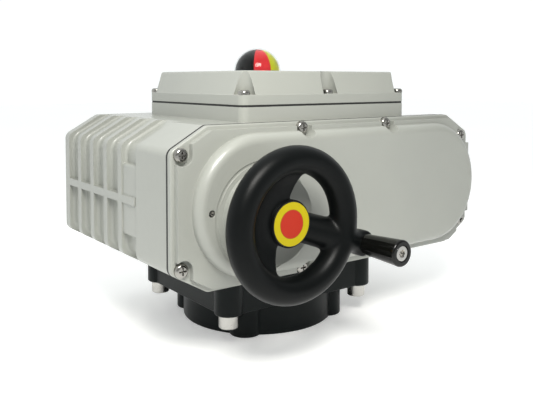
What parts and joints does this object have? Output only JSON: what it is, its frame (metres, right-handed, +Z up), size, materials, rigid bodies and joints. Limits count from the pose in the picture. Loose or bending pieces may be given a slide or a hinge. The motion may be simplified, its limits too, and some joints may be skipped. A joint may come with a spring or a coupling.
{
  "type": "motorized valve actuator",
  "caption": "Quarter-turn electric valve actuator with ribbed housing, gear cover, manual handwheel, dome position indicator and black valve mounting flange.",
  "frame": {"origin": "centre of the valve mounting flange's face, on the output axis", "axes": "+Z up along the output axis, +X to the right along the gear cover, the handwheel faces -Y"},
  "size_m": [0.3675, 0.356, 0.2684],
  "materials": {
    "body_paint": "satin light grey powder coat",
    "gasket_rubber": "matte black",
    "stainless": "bright stainless",
    "clear_window": "clear polycarbonate",
    "clamp_aluminium": "plain cast",
    "black_anodised": "satin black",
    "machined_steel": "machined",
    "bronze": "machined bronze",
    "nickel_brass": "nickel plated",
    "grey_iron": "as cast",
    "laminated_steel": "laminated",
    "black_plastic": "satin black",
    "gloss_black": "glossy black",
    "label_yellow": "yellow ring and red centre",
    "indicator_colours": "black, red and yellow sectors",
    "switch_plastic": "plain",
    "board_green": "solder resist",
    "terminal_grey": "plain"
  },
  "bodies": {
    "frame": {"housing": "body_paint", "gear_cover": "body_paint", "top_cover": "body_paint", "worm_end_cap": "body_paint", "motor_bay_cap": "body_paint", "gear_cover_gasket": "gasket_rubber", "top_cover_gasket": "gasket_rubber", "output_seal": "gasket_rubber", "neck_seal": "gasket_rubber", "gear_cover_screws": "stainless", "top_cover_screws": "stainless", "base_screws": "stainless", "worm_end_cap_screws": "stainless", "motor_bay_cap_screws": "stainless", "ground_screw": "stainless", "cover_plug": "stainless", "motor_screws": "stainless", "stop_screws": "stainless", "stop_nuts": "stainless", "dome_window": "clear_window", "dome_clamp_ring": "clamp_aluminium", "base_plate": "black_anodised", "worm_bearing_front": "machined_steel", "worm_bearing_rear": "machined_steel", "neck_bearing": "machined_steel", "gear_axles": "machined_steel", "switch_bracket": "machined_steel", "output_bush_low": "bronze", "output_bush_high": "bronze", "output_bush_top": "bronze", "thrust_ring": "bronze", "cable_glands": "nickel_brass", "motor_stator": "laminated_steel", "motor_front_bell": "clamp_aluminium", "motor_rear_bell": "clamp_aluminium", "limit_switches": "switch_plastic", "control_board": "board_green", "terminal_blocks": "terminal_grey"},
    "output": {"output_sleeve": "machined_steel", "drive_key": "machined_steel", "worm_wheel_rim": "bronze", "worm_wheel_hub": "grey_iron", "wheel_pins": "machined_steel", "indicator_shaft": "machined_steel", "indicator_drum": "indicator_colours", "cam_closed": "switch_plastic", "cam_open": "switch_plastic"},
    "worm": {"worm_shaft": "machined_steel", "worm_shaft_keys": "machined_steel", "worm_gear": "machined_steel", "handwheel": "black_plastic", "hub_nut": "stainless", "hub_cap": "label_yellow", "handle_bolt": "stainless", "handle_nut": "stainless"},
    "grip": {"handle_grip": "gloss_black"},
    "second_gear": {"gear_two": "machined_steel"},
    "first_gear": {"gear_one": "machined_steel"},
    "rotor": {"motor_shaft": "machined_steel", "motor_rotor": "laminated_steel"}
  },
  "joints": [
    {"name": "worm_turn", "type": "hinge", "parent": "frame", "child": "worm", "pos_m": [-0.072, 0, 0.1215], "axis": [0, 1, 0], "range_deg": [0, 3600]},
    {"name": "output_turn", "type": "hinge", "parent": "frame", "child": "output", "pos_m": [0, 0, 0], "axis": [0, 0, 1], "range_deg": [0, 90]},
    {"name": "second_gear_turn", "type": "hinge", "parent": "frame", "child": "second_gear", "pos_m": [-0.00258, 0, 0.1305], "axis": [0, 1, 0], "range_deg": [-6900, 0]},
    {"name": "first_gear_turn", "type": "hinge", "parent": "frame", "child": "first_gear", "pos_m": [0.06942, 0, 0.1305], "axis": [0, 1, 0], "range_deg": [0, 15681.83]},
    {"name": "rotor_turn", "type": "hinge", "parent": "frame", "child": "rotor", "pos_m": [0.13542, 0, 0.1305], "axis": [0, 1, 0], "range_deg": [-82889.66, 0]},
    {"name": "grip_spin", "type": "hinge", "parent": "worm", "child": "grip", "pos_m": [-0.00182, -0.18, 0.09802], "axis": [0, 1, 0], "continuous": true}
  ],
  "couplings": [
    {"joint": "output_turn", "follows": "worm_turn", "ratio": 0.025},
    {"joint": "second_gear_turn", "follows": "worm_turn", "ratio": -1.9167},
    {"joint": "first_gear_turn", "follows": "worm_turn", "ratio": 4.3561},
    {"joint": "rotor_turn", "follows": "worm_turn", "ratio": -23.025}
  ]
}
